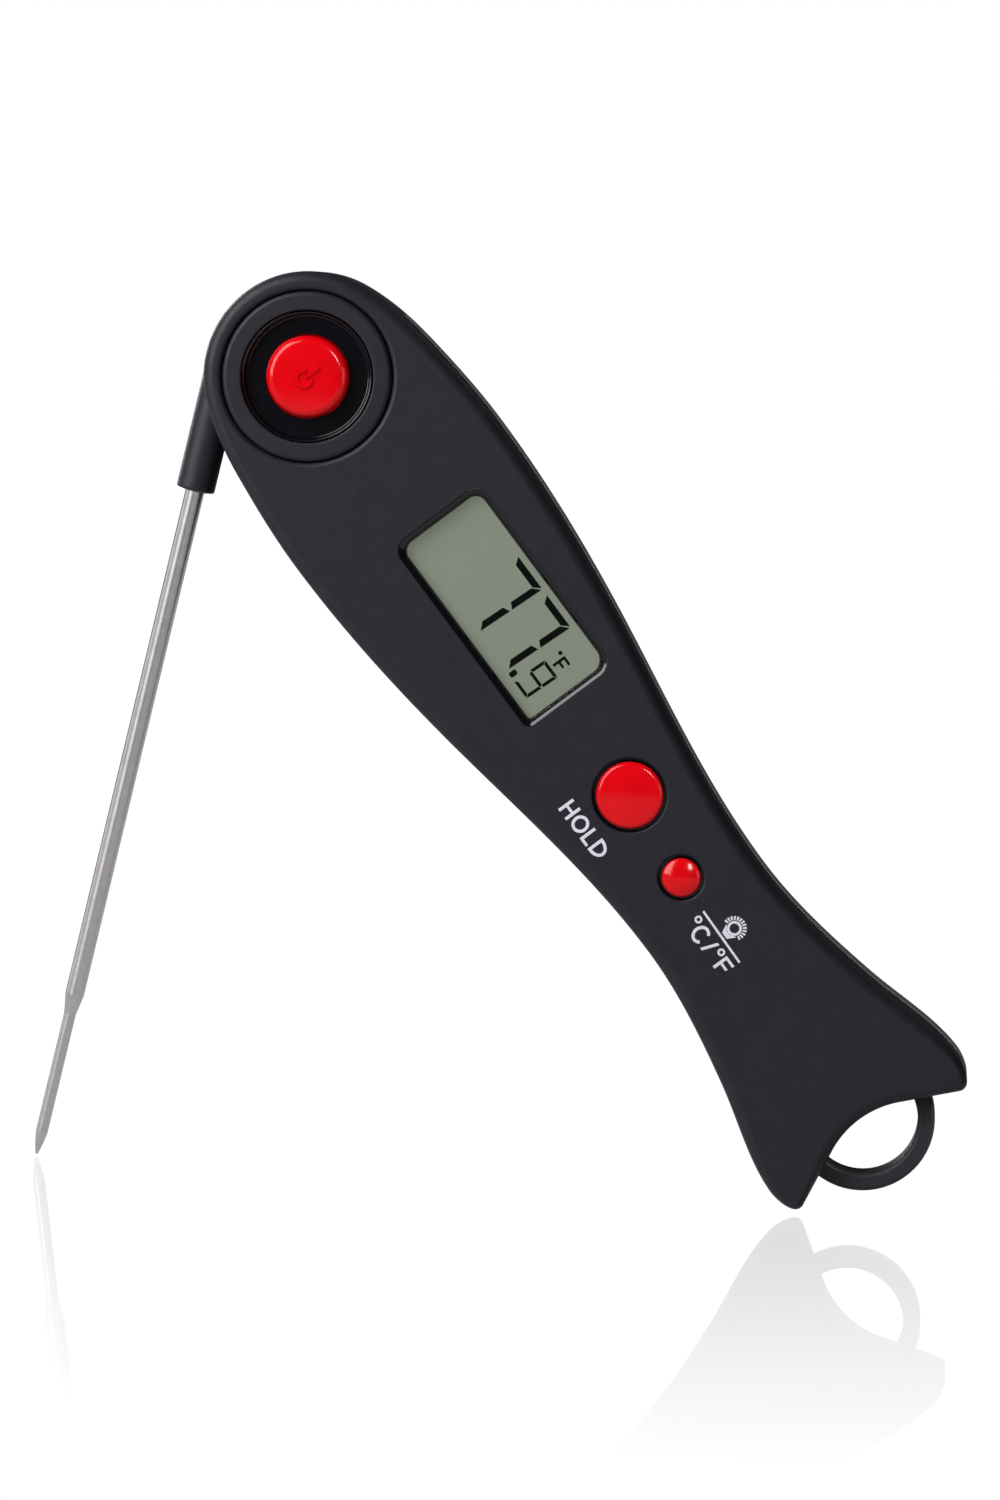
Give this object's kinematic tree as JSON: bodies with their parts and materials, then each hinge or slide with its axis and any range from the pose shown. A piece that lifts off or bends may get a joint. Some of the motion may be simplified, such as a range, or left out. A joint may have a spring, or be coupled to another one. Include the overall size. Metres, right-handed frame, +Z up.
{
  "type": "folding meat thermometer",
  "caption": "Folding digital meat thermometer: fish-shaped charcoal handle with display, red buttons and hanging loop, and a steel probe on a hinged arm.",
  "frame": {"origin": "bottom centre of the box round the object as it stands open on its lower tail fin and the probe's tip", "axes": "+Z up, +X from the probe towards the tail, +Y out of the back of the handle, so the display faces -Y"},
  "size_m": [0.1468, 0.0174, 0.1422],
  "materials": {
    "case_plastic": "matte charcoal plastic with a fine spark texture",
    "gloss_black": "gloss",
    "button_red": "gloss",
    "steel": "drawn and polished",
    "window": "clear gloss",
    "lcd": "satin",
    "diffuser": "satin",
    "circuit_board": "satin",
    "component_black": "matte",
    "nickel": "satin nickel plate",
    "rubber": "matte",
    "lead_red": "satin",
    "bead": "gloss"
  },
  "bodies": {
    "handle": {"back_shell": "case_plastic", "backlight_guide": "diffuser", "backlight_led": "diffuser", "battery_cell": "nickel", "battery_holder": "component_black", "battery_negative_contact": "nickel", "battery_positive_contact": "nickel", "board_screw_1": "nickel", "board_screw_2": "nickel", "button_well": "gloss_black", "case_screw_1": "nickel", "case_screw_2": "nickel", "case_screw_3": "nickel", "case_screw_4": "nickel", "controller_chip": "component_black", "display_lens": "window", "front_shell": "case_plastic", "hang_loop": "case_plastic", "hinge_lead": "lead_red", "hold_switch": "component_black", "hub_washer": "component_black", "lcd_contact_strip": "rubber", "lcd_panel": "lcd", "light_switch": "component_black", "main_board": "circuit_board", "pivot_screw": "nickel", "power_board": "circuit_board", "power_lead": "lead_red", "power_switch": "component_black"},
    "probe": {"hinge_hub": "case_plastic", "hub_seal": "rubber", "probe_tube": "steel", "probe_leads": "lead_red", "thermistor": "bead"},
    "power_button": {"power_button": "button_red", "power_switch_stem": "component_black"},
    "hold_button": {"hold_button": "button_red", "hold_switch_stem": "component_black"},
    "light_button": {"light_button": "button_red", "light_switch_stem": "component_black"},
    "battery_door": {"battery_door": "case_plastic", "battery_door_seal": "rubber"}
  },
  "joints": [
    {"name": "probe_fold", "type": "hinge", "parent": "handle", "child": "probe", "pos_m": [-0.03552, 0.0005, 0.12578], "axis": [0, 1, 0], "range_deg": [-50.5, 129.5]},
    {"name": "power_press", "type": "slide", "parent": "handle", "child": "power_button", "axis": [0, 1, 0], "range_m": [0, 0.00035], "stiffness_N_per_m": 1500},
    {"name": "hold_press", "type": "slide", "parent": "handle", "child": "hold_button", "axis": [0, 1, 0], "range_m": [0, 0.0005], "stiffness_N_per_m": 1500},
    {"name": "light_press", "type": "slide", "parent": "handle", "child": "light_button", "axis": [0, 1, 0], "range_m": [0, 0.0005], "stiffness_N_per_m": 1500},
    {"name": "battery_door_turn", "type": "hinge", "parent": "handle", "child": "battery_door", "pos_m": [-0.0096, 0.0005, 0.10053], "axis": [0, 1, 0], "range_deg": [0, 30]}
  ]
}
